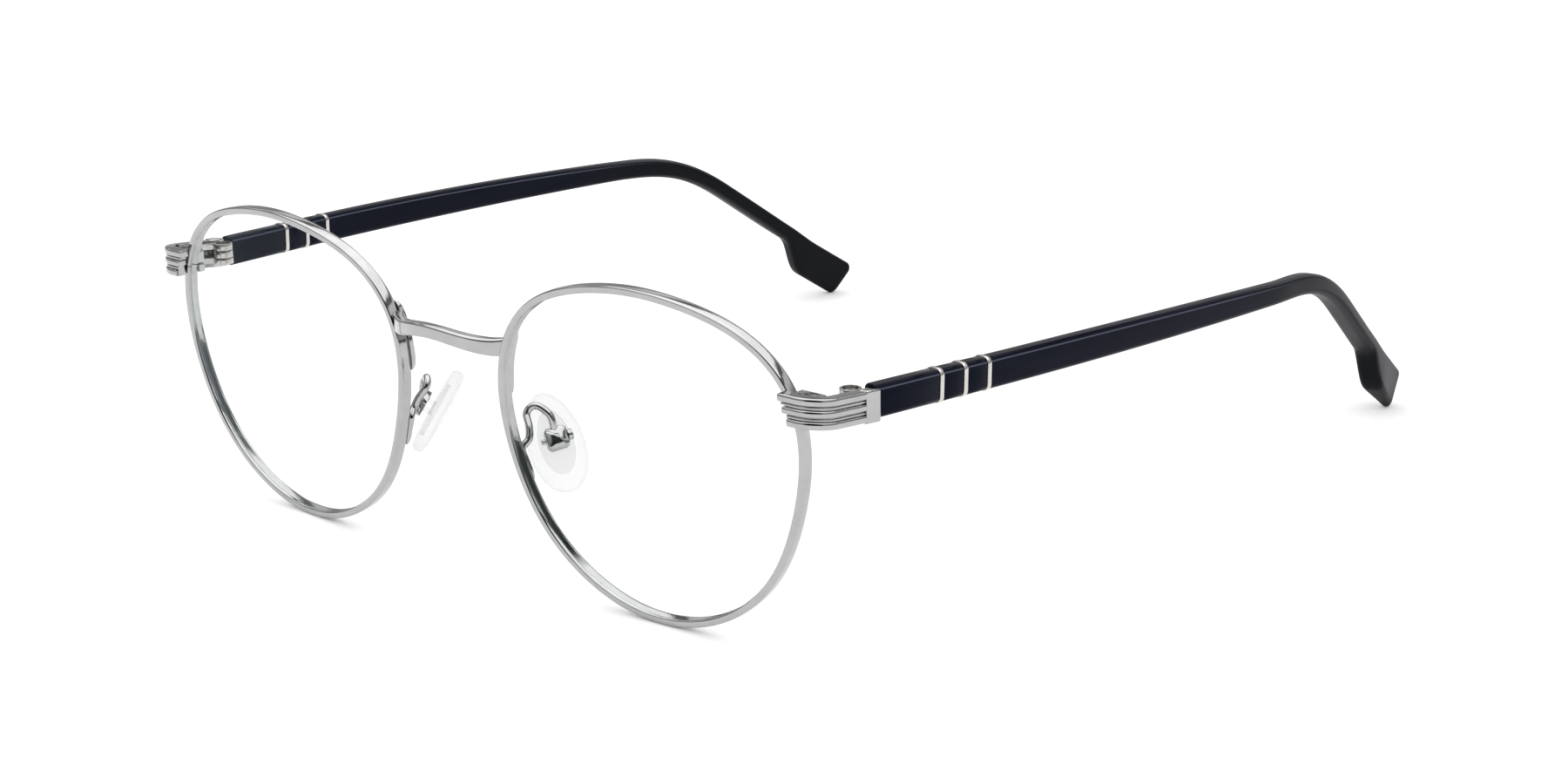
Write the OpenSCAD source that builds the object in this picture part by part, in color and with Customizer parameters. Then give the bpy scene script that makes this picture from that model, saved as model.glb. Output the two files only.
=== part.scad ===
// Round wire eyeglasses with ribbed end pieces, banded temples and adjustable nose pads.
// They stand open on a table: Z = 0 is the table, X = 0 the symmetry plane, the lenses
// look towards -Y and the temples run back along +Y. All lengths are in millimetres.

/* [Lens shape] */
// Mean radius of the rim's centre line
lens_radius = 23.84; // [22:0.02:26]
// How much wider than tall the lens is, as a radius change
lens_oval = 1.18; // [0:0.02:2]
// How much narrower the lens is at the bottom corners than at the top
lens_panto = 1.05; // [0:0.01:1.5]
// How much the sides are flattened towards a square
lens_square = -0.28; // [-0.6:0.01:0.2]
// Fullness of the upper shoulders
lens_shoulder = 0.17; // [-0.2:0.01:0.3]
// Flattening between the shoulders and the sides
lens_flat = -0.13; // [-0.3:0.01:0.2]
// Lens thickness
lens_thick = 1.6; // [1.2:0.1:2]
// Radius of the curved surface that both faces of the lens follow
base_curve = 95; // [80:1:200]

/* [Front] */
// Distance between the two lens centres
lens_spacing = 70; // [66:0.5:76]
// Height of the lens centres above the table
lens_height = 23.63; // [22:0.05:28]
// Forward lean of the front's top edge, in degrees
front_lean = 4.9; // [0:0.1:10]
// Turn of each lens round the face, in degrees
face_wrap = 3.4; // [0:0.1:6]
// Thickness of the rim wire, seen from the front
rim_width = 1.05; // [0.9:0.05:1.6]
// Depth of the rim wire, front to back
rim_depth = 1.76; // [1.6:0.02:2.4]
// Depth of the lens groove inside the rim
groove = 0.42; // [0.3:0.02:0.45]
// Angle round the lens at which the rim is split for closing
split_angle = 22; // [18:0.5:24]

/* [Bridge] */
// How far the middle of the bridge stands in front of the lens plane
bridge_forward = 2.4; // [1:0.1:4]
// Height of the bridge's middle above the table
bridge_height = 35; // [33:0.1:37]
// Front-to-back thickness of the bridge
bridge_thick = 1.6; // [1.2:0.1:2]
// Height of the bridge bar at its middle
bridge_tall = 1.9; // [1.4:0.1:2.4]

/* [End pieces] */
// Half width over the end pieces' ribs
end_half_width = 64.3; // [62:0.1:67]
// Outer radius of the end piece's corner, seen from above
end_corner = 4.2; // [3.6:0.1:5]
// Downward slope of the ribs towards the temple, in degrees
rib_slope = 5.6; // [0:0.1:8]
// Distance between the ribs
rib_pitch = 1.48; // [1.2:0.01:1.6]
// Wall of the end piece beside the hinge
end_wall = 1.45; // [1.2:0.05:1.5]

/* [Hinges] */
// Distance of the hinge axis from the symmetry plane
hinge_x = 60.9; // [60:0.05:61.5]
// Distance of the hinge axis behind the lens plane
hinge_y = 11.7; // [11:0.05:12]
// Height of the middle of the hinge above the table
hinge_z = 33.55; // [33:0.05:34]
// Radius of the hinge barrels
barrel_r = 1.42; // [1.2:0.02:1.45]
// Height of the middle barrel, which belongs to the temple
middle_tall = 1.1; // [0.9:0.05:1.3]
// Height of the upper and lower barrels
outer_tall = 0.95; // [0.8:0.05:1.1]
// Radius of the hinge screw's shank
hinge_screw_r = 0.6; // [0.5:0.05:0.7]
// Clearance all round a turning shank
turn_gap = 0.04; // [0.02:0.01:0.08]

/* [Temples] */
// Thickness of the temple, side to side
temple_thick = 2.5; // [2:0.1:3]
// Height of the temple at the hinge end
temple_tall = 4.38; // [4:0.02:4.6]
// Rounding along the temple's edges
temple_round = 0.85; // [0.5:0.05:1]
// Outward angle of the temple at the hinge end, in degrees
temple_splay = 5.5; // [3:0.1:7]
// Downward angle of the temple at the hinge end, in degrees
temple_drop = 1.6; // [0:0.1:3]
// Distance along the arm, from the last band, at which the ear bend begins
bend_start = 68; // [60:0.5:72]
// Length of the ear bend along the arm
bend_length = 25.6; // [16:0.1:32]
// Downward turn of the ear bend, in degrees
bend_turn = 32.6; // [25:0.1:45]
// Distance from the start of the ear bend to the tip
hook_length = 57.68; // [45:0.01:65]
// Height of the arm behind the ear bend
hook_tall = 2.75; // [2.4:0.05:4]
// Thickness of the arm behind the ear bend
hook_thick = 3.7; // [2.5:0.1:4]
// Height of the tip's paddle
tip_tall = 6.47; // [5:0.01:8]
// Distance from the start of the ear bend to the paddle's step
paddle_start = 40.8; // [35:0.1:48]
// How much thinner the tip's lower edge is, as a share of its thickness
paddle_thin = 0.6; // [0:0.02:0.7]
// Width of each metal band
band_wide = 0.7; // [0.5:0.05:1]
// Distance from one band to the next
band_pitch = 4.37; // [4:0.01:6]
// Distance of the first band's front edge from the temple's front end
band_first = 10.9; // [8:0.1:12]
// How far a band stands proud of the temple
band_proud = 0.12; // [0.05:0.01:0.2]

/* [Nose pads] */
// Distance of a pad's centre from the symmetry plane
pad_x = 11.75; // [10.5:0.05:13]
// Distance of a pad's centre behind the lens plane
pad_y = 8.7; // [8:0.1:10]
// Height of a pad's centre above the table
pad_z = 19.1; // [17:0.1:21]
// Length of the pad
pad_long = 14.2; // [12:0.1:15]
// Width of the pad
pad_wide = 7.8; // [6:0.1:9]
// Thickness of the pad
pad_thick = 2.4; // [2:0.1:3]
// Thickness of the pad arm's wire
arm_wire = 1.04; // [0.7:0.02:1.2]
// Outer width of the pad box
box_wide = 3.1; // [2.6:0.1:3.2]

/* [Hidden] */
$fn = 48;

left = 1;
right = -1;
// The frame's origin is half way between the bridge's front and the temple tips.
origin_y = 74.28;
steel = [0.74, 0.74, 0.74];
navy = [0.08, 0.09, 0.14];

// ---- general shapes -------------------------------------------------------------------

// Places a sub-part on the wearer's left (+X) or right (-X) side, in the final frame.
module on_side(side) {
    translate([0, -origin_y, 0])
        mirror([side == left ? 0 : 1, 0, 0])
            children();
}

// Skins a solid over a list of equal rings, with a flat cap on the first and the last.
module skin(rings) {
    n = len(rings[0]);
    m = len(rings);
    sides = [for (i = [0 : m - 2], j = [0 : n - 1])
        let (a = i * n + j,
             b = i * n + (j + 1) % n,
             c = (i + 1) * n + (j + 1) % n,
             d = (i + 1) * n + j)
        each [[a, c, b], [a, d, c]]];
    caps = [
        [for (j = [0 : n - 1]) j],
        [for (j = [n - 1 : -1 : 0]) (m - 1) * n + j]];
    polyhedron([for (ring = rings) each ring], concat(sides, caps), convexity = 10);
}

function unit(v) = v / norm(v);

// A ring of points round p, for a section given in the directions a and b.
function ring_at(p, a, b, section) = [for (q = section) p + a * q[0] + b * q[1]];

// Directions along a list of points.
function tangents(path) = let (n = len(path)) [for (i = [0 : n - 1])
    unit(path[min(n - 1, i + 1)] - path[max(0, i - 1)])];

// Rounded rectangle as points, counter-clockwise, with four points on each corner.
function round_box(w, h, r) = [for (k = [0 : 3], a = [0, 30, 60, 90])
    let (sx = (k == 0 || k == 3) ? 1 : -1, sy = (k < 2) ? 1 : -1)
    [sx * (w / 2 - r) + r * cos(90 * k + a), sy * (h / 2 - r) + r * sin(90 * k + a)]];

// The same section as an exact flat shape.
module round_rect(w, h, r) {
    square([w, h - 2 * r], center = true);
    square([w - 2 * r, h], center = true);
    for (x = [-1, 1], y = [-1, 1])
        translate([x * (w / 2 - r), y * (h / 2 - r)])
            circle(r);
}

// Smooth curve through hand-set points, with a few steps between each pair.
function through(pts, steps) = let (n = len(pts)) concat(
    [for (i = [0 : n - 2], k = [0 : steps - 1])
        let (t = k / steps,
             p0 = pts[max(0, i - 1)], p1 = pts[i], p2 = pts[i + 1], p3 = pts[min(n - 1, i + 2)])
        0.5 * (2 * p1 + (p2 - p0) * t + (2 * p0 - 5 * p1 + 4 * p2 - p3) * t * t
            + (3 * p1 - p0 - 3 * p2 + p3) * t * t * t)],
    [pts[n - 1]]);

function ramp(x) = let (t = min(1, max(0, x))) t * t * (3 - 2 * t);

// ---- lens outline and the curved, leaning surface that carries it ----------------------

function lens_r(a) = lens_radius + lens_oval * cos(2 * a) + lens_panto * sin(3 * a)
    + lens_square * cos(4 * a) + lens_shoulder * sin(5 * a) + lens_flat * cos(6 * a);

function outline(a) = [lens_r(a) * cos(a), lens_r(a) * sin(a)];

function outline_normal(a) = let (t = unit(outline(a + 0.5) - outline(a - 0.5))) [t[1], -t[0]];

// From lens coordinates (across, up, back from the lens surface) to the front's space.
function on_front(u, w, d) = let (
        s = (u * u + w * w) / (2 * base_curve) + d,
        x = lens_spacing / 2 + u * cos(face_wrap) - s * sin(face_wrap),
        y = u * sin(face_wrap) + s * cos(face_wrap))
    [x, y * cos(front_lean) - w * sin(front_lean),
        y * sin(front_lean) + w * cos(front_lean) + lens_height];

// A point beside the rim's centre line: out from the lens, and back.
function beside_rim(a, out, back) = let (
        p = outline(a), n = outline_normal(a), s = (p * p) / (2 * base_curve),
        q = p + n * out)
    on_front(q[0], q[1], s + back - (q * q) / (2 * base_curve));

// ---- rim -------------------------------------------------------------------------------

rim_out = rim_width / 2;
rim_half = rim_depth / 2;
rim_edge = 0.22;
lip = 0.46;
rim_section = [
    [rim_out - rim_edge, -rim_half], [rim_out, -rim_half + 1.6 * rim_edge],
    [rim_out, rim_half - 1.6 * rim_edge], [rim_out - rim_edge, rim_half],
    [-rim_out + 0.1, rim_half], [-rim_out, rim_half - 0.15], [-rim_out, lip],
    [-rim_out + groove, 0],
    [-rim_out, -lip], [-rim_out, -rim_half + 0.15], [-rim_out + 0.1, -rim_half]];
rim_steps = 100;
split_gap = 0.16;

module rim(side) {
    color(steel)
        on_side(side)
            skin([for (i = [0 : rim_steps])
                let (a = split_angle + split_gap + i * (360 - 2 * split_gap) / rim_steps)
                [for (q = rim_section) beside_rim(a, q[0], q[1])]]);
}

// A strip brazed to the back of the rim between two angles, with rounded ends.
module rim_strip(from, to, inner, outer, tall) {
    steps = 10;
    back = rim_half - 0.05;
    skin([for (i = [0 : steps])
        let (a = from + (to - from) * i / steps,
             e = sqrt(max(0.05, 1 - pow(abs(2 * i / steps - 1), 6))),
             mid = (inner + outer) / 2,
             half = (outer - inner) / 2 * e)
        [beside_rim(a, mid + half, back), beside_rim(a, mid + half, back + tall * 0.7 * e),
            beside_rim(a, mid + half * 0.7, back + tall * e),
            beside_rim(a, mid - half * 0.7, back + tall * e),
            beside_rim(a, mid - half, back + tall * 0.7 * e), beside_rim(a, mid - half, back)]]);
}

// ---- lens ------------------------------------------------------------------------------

lens_gap = 0.04;
lens_sides = 72;

// A ring of the lens: a fraction of the way out, then a set distance inside the rim line.
function lens_ring(f, inset, back) = [for (i = [0 : lens_sides - 1])
    let (a = i * 360 / lens_sides, q = (outline(a) - outline_normal(a) * inset) * f,
         s = outline(a) * outline(a) / (2 * base_curve))
    f == 1 ? beside_rim(a, -inset, back) : on_front(q[0], q[1], back)];

module lens(side) {
    half = lens_thick / 2;
    body = rim_out + 0.04;
    apex = rim_out - groove + lens_gap;
    color([0.9, 0.95, 0.95, 0.25])
        on_side(side)
            skin([lens_ring(0.02, body, half), lens_ring(0.35, body, half),
                lens_ring(0.7, body, half), lens_ring(1, body, half),
                lens_ring(1, body, lip - 0.06), lens_ring(1, apex, 0),
                lens_ring(1, body, -lip + 0.06), lens_ring(1, body, -half),
                lens_ring(0.7, body, -half), lens_ring(0.35, body, -half),
                lens_ring(0.02, body, -half)]);
}

// ---- closing blocks, which clamp the rim round the lens --------------------------------

split_z = beside_rim(split_angle, 0, 0)[2];
block_top = 35.75;
block_bottom = split_z - 1.35;
block_gap = 0.08;
block_reach = 0.5;
screw_x = 60.5;
screw_y = 4.75;
closing_r = 0.5;

// Seen from above; the upper block reaches forward into the back of the end piece, and the
// lower one keeps further back from the lens, which is wider there.
module block_plan(lens_back, forward) {
    polygon([[59.1, 3.4 - forward], [60.6, 3.3 - forward], [61.9, 4.6], [61.9, 5.9], [58.1, 5.9],
        [58.1, lens_back], [59.1, lens_back]]);
}

module closing_block_upper(side) {
    z = split_z + block_gap / 2;
    color(steel)
        on_side(side)
            difference() {
                translate([0, 0, z])
                    linear_extrude(block_top - z)
                        block_plan(4.7, block_reach);
                translate([screw_x, screw_y, z - 1])
                    cylinder(h = 5, r = closing_r + 0.03);
                translate([screw_x, screw_y, block_top - 0.55])
                    cylinder(h = 2, r = 0.8 + 0.03);
            }
}

module closing_block_lower(side) {
    color(steel)
        on_side(side)
            difference() {
                translate([0, 0, block_bottom])
                    linear_extrude(split_z - block_gap / 2 - block_bottom)
                        block_plan(5, 0);
                translate([screw_x, screw_y, block_bottom - 1])
                    cylinder(h = 5, r = closing_r + 0.01);
            }
}

module closing_screw(side) {
    color(steel)
        on_side(side)
            translate([screw_x, screw_y, 0])
                slotted_screw(block_bottom + 0.1, block_top - 0.05, closing_r, 0.8, 0.5);
}

// An upright screw from one height to another, with a slotted head on top.
module slotted_screw(low, high, shank, head, head_tall) {
    difference() {
        union() {
            translate([0, 0, low])
                cylinder(h = high - low, r = shank);
            translate([0, 0, high - head_tall])
                cylinder(h = head_tall, r = head);
        }
        translate([0, 0, high])
            cube([3 * head, 0.26, head_tall], center = true);
    }
}

// ---- bridge ----------------------------------------------------------------------------

bridge_end = 10.8;
bridge_steps = 24;

module bridge() {
    path = [for (i = [0 : bridge_steps])
        let (x = bridge_end * (2 * i / bridge_steps - 1), v = x / 10)
        [x, -bridge_forward + 3.57 * v * v, bridge_height - 2.8 * v * v + 1.54 * pow(v, 4)]];
    color(steel)
        translate([0, -origin_y, 0])
            skin([for (i = [0 : bridge_steps])
                let (v = path[i][0] / 10,
                     slope = 0.714 * v,
                     thick = bridge_thick * sqrt(1 + slope * slope))
                ring_at(path[i], [0, 1, 0], [0, 0, 1],
                    round_box(thick, bridge_tall + 0.5 * v * v, 0.45))]);
}

module bridge_plate(side) {
    color(steel)
        on_side(side)
            rim_strip(151.5, 173.5, -0.42, 0.8, 0.8);
}

// ---- end piece -------------------------------------------------------------------------

rib_r = 0.47;
rib_mid_z = 33.67;
rib_mid_y = 7;
collar_start = 10.9;
collar_end = 13.55;
end_front = 1.42;
end_nose = 58.7;

// Flat-topped rib across the end piece's outer face.
function rib(z, r, lift) = [for (a = [-80 : 40 : 80])
    [lift - r + r * sqrt(cos(a)), z + r * sin(a)]];

// Ribbed section: outwards from the outer face, and up.
function ribbed(wall) = concat(
    [[-wall, -2.1]], [[-0.35, -2.1]],
    rib(-rib_pitch, rib_r + 0.04, 0), rib(-rib_pitch / 2, 0.15, -0.26),
    rib(0, rib_r, 0), rib(rib_pitch / 2, 0.15, -0.26), rib(rib_pitch, rib_r + 0.04, 0),
    [[-0.35, 2.1]], [[-wall, 2.1]]);

// The same points drawn out into the smooth collar that closes the ribs off.
function collared(wall) = [for (q = ribbed(wall))
    [q[0] < 0.01 - wall ? -wall : 0.05 - 0.25 * pow(abs(q[1]) / 2.1, 6), 1.024 * q[1]]];

// Path of the outer face seen from above: across the front, round the corner, and back.
corner_x = end_half_width - end_corner;
corner_y = end_front + end_corner;
side_x = end_half_width - 0.12;
function end_path() = concat(
    [for (i = [0 : 3]) [end_nose + (corner_x - end_nose) * i / 4, end_front]],
    [for (i = [0 : 10]) let (a = -90 + 9 * i)
        [corner_x + end_corner * cos(a), corner_y + end_corner * sin(a)]],
    [for (i = [1 : 4]) [end_half_width - 0.03 * i, corner_y + (collar_start - corner_y) * i / 4]]);

// One section of the end piece, placed at p with its face turned towards out.
function end_ring(p, out, slant, section) = let (
        z = rib_mid_z - tan(rib_slope) * (p[1] - rib_mid_y))
    [for (q = section) [p[0] + out[0] * q[0] - slant * q[1], p[1] + out[1] * q[0], z + q[1]]];

module end_piece(side) {
    path = end_path();
    last = len(path) - 1;
    collar = [for (y = [collar_end, (collar_start + collar_end) / 2, collar_start + 0.05])
        end_ring([side_x, y], [1, 0], 0, collared(end_wall))];
    ribs = [for (i = [last : -1 : 0])
        let (t = unit(path[min(last, i + 1)] - path[max(0, i - 1)]),
             slant = 0.49 * (1 - min(1, i / 4)),
             wall = end_wall + 0.25 * (1 - ramp(i / 8)))
        end_ring(path[i], [t[1], -t[0]], slant, ribbed(wall))];
    color(steel)
        on_side(side)
            skin(concat(collar, ribs));
}

// ---- hinges ----------------------------------------------------------------------------

barrel_gap = 0.05;
stack_half = middle_tall / 2 + barrel_gap + outer_tall;
wall_x = end_half_width - 0.1 - end_wall;

// Leaf and barrel of the front's half of the hinge, seen from above.
module leaf_plan() {
    circle(barrel_r);
    polygon([[wall_x + 0.12 - hinge_x, -3.2], [0.9, -1.1], [0, 0],
        [wall_x + 0.12 - hinge_x, 0.5]]);
}

module front_hinge(side) {
    color(steel)
        on_side(side)
            translate([hinge_x, hinge_y, hinge_z])
                difference() {
                    for (z = [middle_tall / 2 + barrel_gap, -stack_half])
                        translate([0, 0, z])
                            linear_extrude(outer_tall)
                                leaf_plan();
                    translate([0, 0, -5])
                        cylinder(h = 10, r = hinge_screw_r + 0.01);
                    translate([0, 0, stack_half - 0.45])
                        cylinder(h = 2, r = 1 + 0.02);
                }
}

module hinge_screw(side) {
    color(steel)
        on_side(side)
            translate([hinge_x, hinge_y, hinge_z])
                slotted_screw(-stack_half, stack_half + 0.02, hinge_screw_r, 1, 0.45);
}

// ---- temple ----------------------------------------------------------------------------

temple_start = 13.75;
temple_x = 62.55;
temple_z = 33.27;
tongue_in = 5;
tongue_rise = 0.24;
core_r = 0.6;
arm_from = band_first + 2 * band_pitch + band_wide;

// The straight front stretch of the temple runs along the local +Y axis.
module along_temple(side) {
    on_side(side)
        translate([temple_x, temple_start, temple_z])
            rotate([-temple_drop, 0, -temple_splay])
                children();
}

// A slice of the temple's front stretch, from one distance to another.
module slice(from, to, proud = 0) {
    translate([0, to, 0])
        rotate([90, 0, 0])
            linear_extrude(to - from)
                round_rect(temple_thick + 2 * proud, temple_tall + 2 * proud, temple_round + proud);
}

module core_bore(from, to) {
    translate([0, to, 0])
        rotate([90, 0, 0])
            cylinder(h = to - from, r = core_r + 0.03);
}

module temple_hinge(side) {
    color(steel)
        difference() {
            union() {
                on_side(side)
                    translate([hinge_x, hinge_y, hinge_z - middle_tall / 2])
                        cylinder(h = middle_tall, r = barrel_r);
                along_temple(side)
                    translate([-0.85, -2.2, tongue_rise - 0.5])
                        cube([0.9, tongue_in + 2.2, 1]);
            }
            on_side(side)
                translate([hinge_x, hinge_y, 0])
                    cylinder(h = 100, r = hinge_screw_r + turn_gap);
        }
}

module temple_block_front(side) {
    color(navy)
        along_temple(side)
            difference() {
                slice(0, band_first);
                translate([-0.88, -1, tongue_rise - 0.53])
                    cube([0.96, tongue_in + 1.03, 1.06]);
                core_bore(tongue_in, band_first + 1);
            }
}

// A navy block behind the first or the second band.
module temple_block(side, count) {
    from = band_first + band_wide + count * band_pitch;
    color(navy)
        along_temple(side)
            difference() {
                slice(from, from + band_pitch - band_wide);
                core_bore(from - 1, from + band_pitch);
            }
}

module band(side, count) {
    from = band_first + count * band_pitch;
    color(steel)
        along_temple(side)
            difference() {
                slice(from, from + band_wide, band_proud);
                core_bore(from - 1, from + band_wide + 1);
            }
}

core_end = arm_from + 10;

module temple_core(side) {
    color(steel)
        along_temple(side)
            translate([0, core_end, 0])
                rotate([90, 0, 0])
                    cylinder(h = core_end - tongue_in - 0.05, r = core_r);
}

// Directions of the long arm at a distance behind its front end: sideways, then down.
arm_splay = 0.083;
arm_bow = 0.001624;
arm_drop = 1.735;
arm_sag = 0.0188;
settle = 8;
toe_in = 0.1;
tip_lift = 2.5;
function arm_side(s) = arm_splay + (sin(temple_splay) - arm_splay) * (1 - ramp(s / settle))
    - arm_bow * min(s, bend_start + bend_length) - toe_in * ramp((s - bend_start + 4.7) / 8);
function arm_down(s) = arm_drop + (temple_drop - arm_drop) * (1 - ramp(s / settle))
    + arm_sag * min(s, bend_start) + bend_turn * ramp((s - bend_start) / bend_length)
    - tip_lift * ramp((s - bend_start - 34) / 15);
function arm_heading(s) = let (x = arm_side(s), c = sqrt(1 - x * x))
    [x, c * cos(arm_down(s)), -c * sin(arm_down(s))];

// Centre line of the long arm, in small steps, in the front's space.
arm_length = bend_start + hook_length;
arm_step = 0.5;
arm_front = [temple_x + arm_from * sin(temple_splay) * cos(temple_drop),
    temple_start + arm_from * cos(temple_splay) * cos(temple_drop),
    temple_z - arm_from * sin(temple_drop)];
arm_line = [for (i = 0, p = arm_front; arm_step * i < arm_length + 2 * arm_step;
    p = p + arm_step * arm_heading(arm_step * (i + 0.5)), i = i + 1) p];
function arm_point(s) = let (i = floor(s / arm_step), f = s / arm_step - i)
    arm_line[i] * (1 - f) + arm_line[i + 1] * f;

// Distances along the arm at which its sections are set.
tip_round = 1.3;
arm_stations = concat(
    [for (i = [0 : 14]) bend_start * i / 15],
    [for (i = [0 : 39]) bend_start + (hook_length - tip_round) * i / 40],
    [for (i = [0 : 6]) arm_length - tip_round * (1 - sin(15 * i))]);

// Shape of the arm's section at a distance along it.
paddle_ease = 7.5;
function bend_part(s) = ramp((s - bend_start) / bend_length);
function paddle_part(s) = ramp((s - bend_start - paddle_start) / paddle_ease);
function shaft_tall(s) = let (v = min(s, bend_start)) temple_tall - 0.0045 * v - 0.00019 * v * v;
function arm_tall(s) = let (tall = shaft_tall(s))
    tall + (hook_tall - tall) * bend_part(s) + (tip_tall - hook_tall) * paddle_part(s);
function arm_thick(s) = temple_thick + (hook_thick - temple_thick) * bend_part(s);
function arm_sink(s) = -0.26 * bend_part(s) + 2.19 * paddle_part(s);
function arm_round(s) = temple_round + 0.3 * bend_part(s);
function arm_twist(s) = 7 * ramp((s - bend_start - 32.4) / 14);
function end_shrink(s) = let (e = max(0, s - (arm_length - tip_round)) / tip_round)
    sqrt(max(0.0, 1 - e * e));

// One section of the arm, with its lower edge turned out by the twist.
function arm_ring(s) = let (
        t = arm_heading(s),
        flat = unit(cross(t, [0, 0, 1])),
        up = cross(flat, t),
        w = arm_twist(s),
        a = flat * cos(w) + up * sin(w),
        b = up * cos(w) - flat * sin(w),
        e = end_shrink(s),
        inset = 1 - e,
        tall = arm_tall(s) - 2 * tip_round * inset,
        thin = paddle_thin * ramp((s - bend_start - paddle_start - 6) / 11))
    ring_at(arm_point(s) - b * arm_sink(s), a, -b,
        [for (q = round_box(arm_thick(s) - 1.9 * inset, tall, arm_round(s) * (0.55 + 0.45 * e)))
            [q[0] * (1 - thin * (0.5 + q[1] / tall)), q[1]]]);

module temple_arm(side) {
    color(navy)
        difference() {
            on_side(side)
                skin([for (s = arm_stations) arm_ring(s)]);
            along_temple(side)
                core_bore(arm_from - 1, core_end + 0.05);
        }
}

// ---- nose pads -------------------------------------------------------------------------

// Pad frame: local +Z runs up the pad, local +Y faces the nose, local X is the rocking axis.
module in_pad(side) {
    on_side(side)
        translate([pad_x, pad_y, pad_z])
            rotate([-30.7, -11.4, 58.3])
                children();
}

box_deep = 1.7;
box_back = -3.4;
box_wall = 0.4;
pivot_y = -2.35;
pad_screw_r = 0.35;
screw_reach = 2.2;

module along_pivot(from, to, r) {
    translate([from, pivot_y, 0])
        rotate([0, 90, 0])
            cylinder(h = to - from, r = r);
}

module pad_box(side) {
    inner = box_wide - 2 * box_wall;
    color(steel)
        in_pad(side)
            difference() {
                translate([0, box_back + box_deep, 0])
                    rotate([90, 0, 0])
                        linear_extrude(box_deep)
                            round_rect(box_wide, box_wide, 0.7);
                translate([0, box_back + box_deep + 1, 0])
                    rotate([90, 0, 0])
                        linear_extrude(box_deep + 1 - box_wall)
                            round_rect(inner, inner, 0.35);
                along_pivot(-5, 5, pad_screw_r + 0.01);
            }
}

module pad_screw(side) {
    color(steel)
        in_pad(side)
            difference() {
                union() {
                    along_pivot(-screw_reach, screw_reach, pad_screw_r);
                    along_pivot(box_wide / 2, screw_reach, 0.72);
                }
                translate([screw_reach, pivot_y, 0])
                    cube([0.5, 0.22, 3], center = true);
            }
}

// Pad plan: an egg-shaped oval, wider at its lower end.
function pad_outline(long, wide, n) = [for (i = [0 : n - 1])
    let (a = i * 360 / n)
    [wide / 2 * cos(a) * (1 - 0.1 * sin(a)), long / 2 * sin(a)]];

module pad_slab(long, wide, from, to) {
    translate([0, to, 0])
        rotate([90, 0, 0])
            linear_extrude(to - from)
                polygon(pad_outline(long, wide, 40));
}

core_front = 0.1;
core_back = -0.5;
lug_wide = 1.5;

module nose_pad(side) {
    back = -pad_thick / 2 + 0.3;
    color([0.9, 0.92, 0.92, 0.5])
        in_pad(side)
            difference() {
                intersection() {
                    pad_slab(pad_long, pad_wide, back, back + pad_thick);
                    translate([0, back + pad_thick - 16, 0])
                        sphere(r = 16, $fn = 96);
                }
                pad_slab(pad_long - 5.2, pad_wide - 3.2, core_back, core_front);
                translate([0, -2, 0])
                    cube([lug_wide, 4, lug_wide], center = true);
            }
}

module pad_core(side) {
    color([0.85, 0.87, 0.87, 0.5])
        in_pad(side)
            difference() {
                union() {
                    pad_slab(pad_long - 5.2, pad_wide - 3.2, core_back, core_front);
                    translate([-lug_wide / 2, pivot_y - 0.5, -lug_wide / 2])
                        cube([lug_wide, core_back - pivot_y + 0.6, lug_wide]);
                }
                along_pivot(-3, 3, pad_screw_r + turn_gap);
            }
}

// Wire of the pad arm: from its flattened foot behind the rim, over a loop, to the box.
foot_back = rim_half + 0.27;
arm_points = [
    beside_rim(201, 0.05, foot_back), beside_rim(197.5, 0.08, foot_back),
    beside_rim(194, 0.12, foot_back), beside_rim(190.5, 0.2, foot_back + 0.1),
    [11.35, 4.2, 20.6], [10.9, 4.75, 22], [9.95, 5.25, 23.4], [10.1, 5.8, 24.3],
    [10.95, 6.4, 24.55], [12.2, 7, 23.7], [12.7, 7.25, 22.8], [12.95, 7.35, 21.5]];
arm_steps = 3;

module pad_arm(side) {
    path = through(arm_points, arm_steps);
    t = tangents(path);
    color(steel)
        on_side(side)
            skin([for (i = [0 : len(path) - 1])
                let (a = unit(cross(t[i], [0, 1, 0.3])),
                     b = cross(a, t[i]),
                     flat = 1 - ramp((i - 2 * arm_steps) / (2 * arm_steps)),
                     tip = 0.45 + 0.55 * ramp((i + 1) / 4),
                     r = arm_wire / 2 * tip)
                ring_at(path[i], a, -b, [for (k = [0 : 9])
                    [r * (1 + 0.35 * flat) * cos(36 * k), r * (1 - 0.3 * flat) * sin(36 * k)]])]);
}

// ---- the assembly ----------------------------------------------------------------------

rim(left);  // rim_left
rim(right);  // rim_right
lens(left);  // lens_left
lens(right);  // lens_right
closing_block_upper(left);  // closing_block_upper_left
closing_block_upper(right);  // closing_block_upper_right
closing_block_lower(left);  // closing_block_lower_left
closing_block_lower(right);  // closing_block_lower_right
closing_screw(left);  // closing_screw_left
closing_screw(right);  // closing_screw_right
bridge();
bridge_plate(left);  // bridge_plate_left
bridge_plate(right);  // bridge_plate_right
end_piece(left);  // end_piece_left
end_piece(right);  // end_piece_right
front_hinge(left);  // front_hinge_left
front_hinge(right);  // front_hinge_right
hinge_screw(left);  // hinge_screw_left
hinge_screw(right);  // hinge_screw_right
pad_arm(left);  // pad_arm_left
pad_arm(right);  // pad_arm_right
pad_box(left);  // pad_box_left
pad_box(right);  // pad_box_right
pad_screw(left);  // pad_screw_left
pad_screw(right);  // pad_screw_right
nose_pad(left);  // nose_pad_left
nose_pad(right);  // nose_pad_right
pad_core(left);  // pad_core_left
pad_core(right);  // pad_core_right
temple_hinge(left);  // temple_hinge_left
temple_hinge(right);  // temple_hinge_right
temple_core(left);  // temple_core_left
temple_core(right);  // temple_core_right
temple_block_front(left);  // temple_block_front_left
temple_block_front(right);  // temple_block_front_right
temple_block(left, 0);  // temple_block_middle_left
temple_block(right, 0);  // temple_block_middle_right
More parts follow.
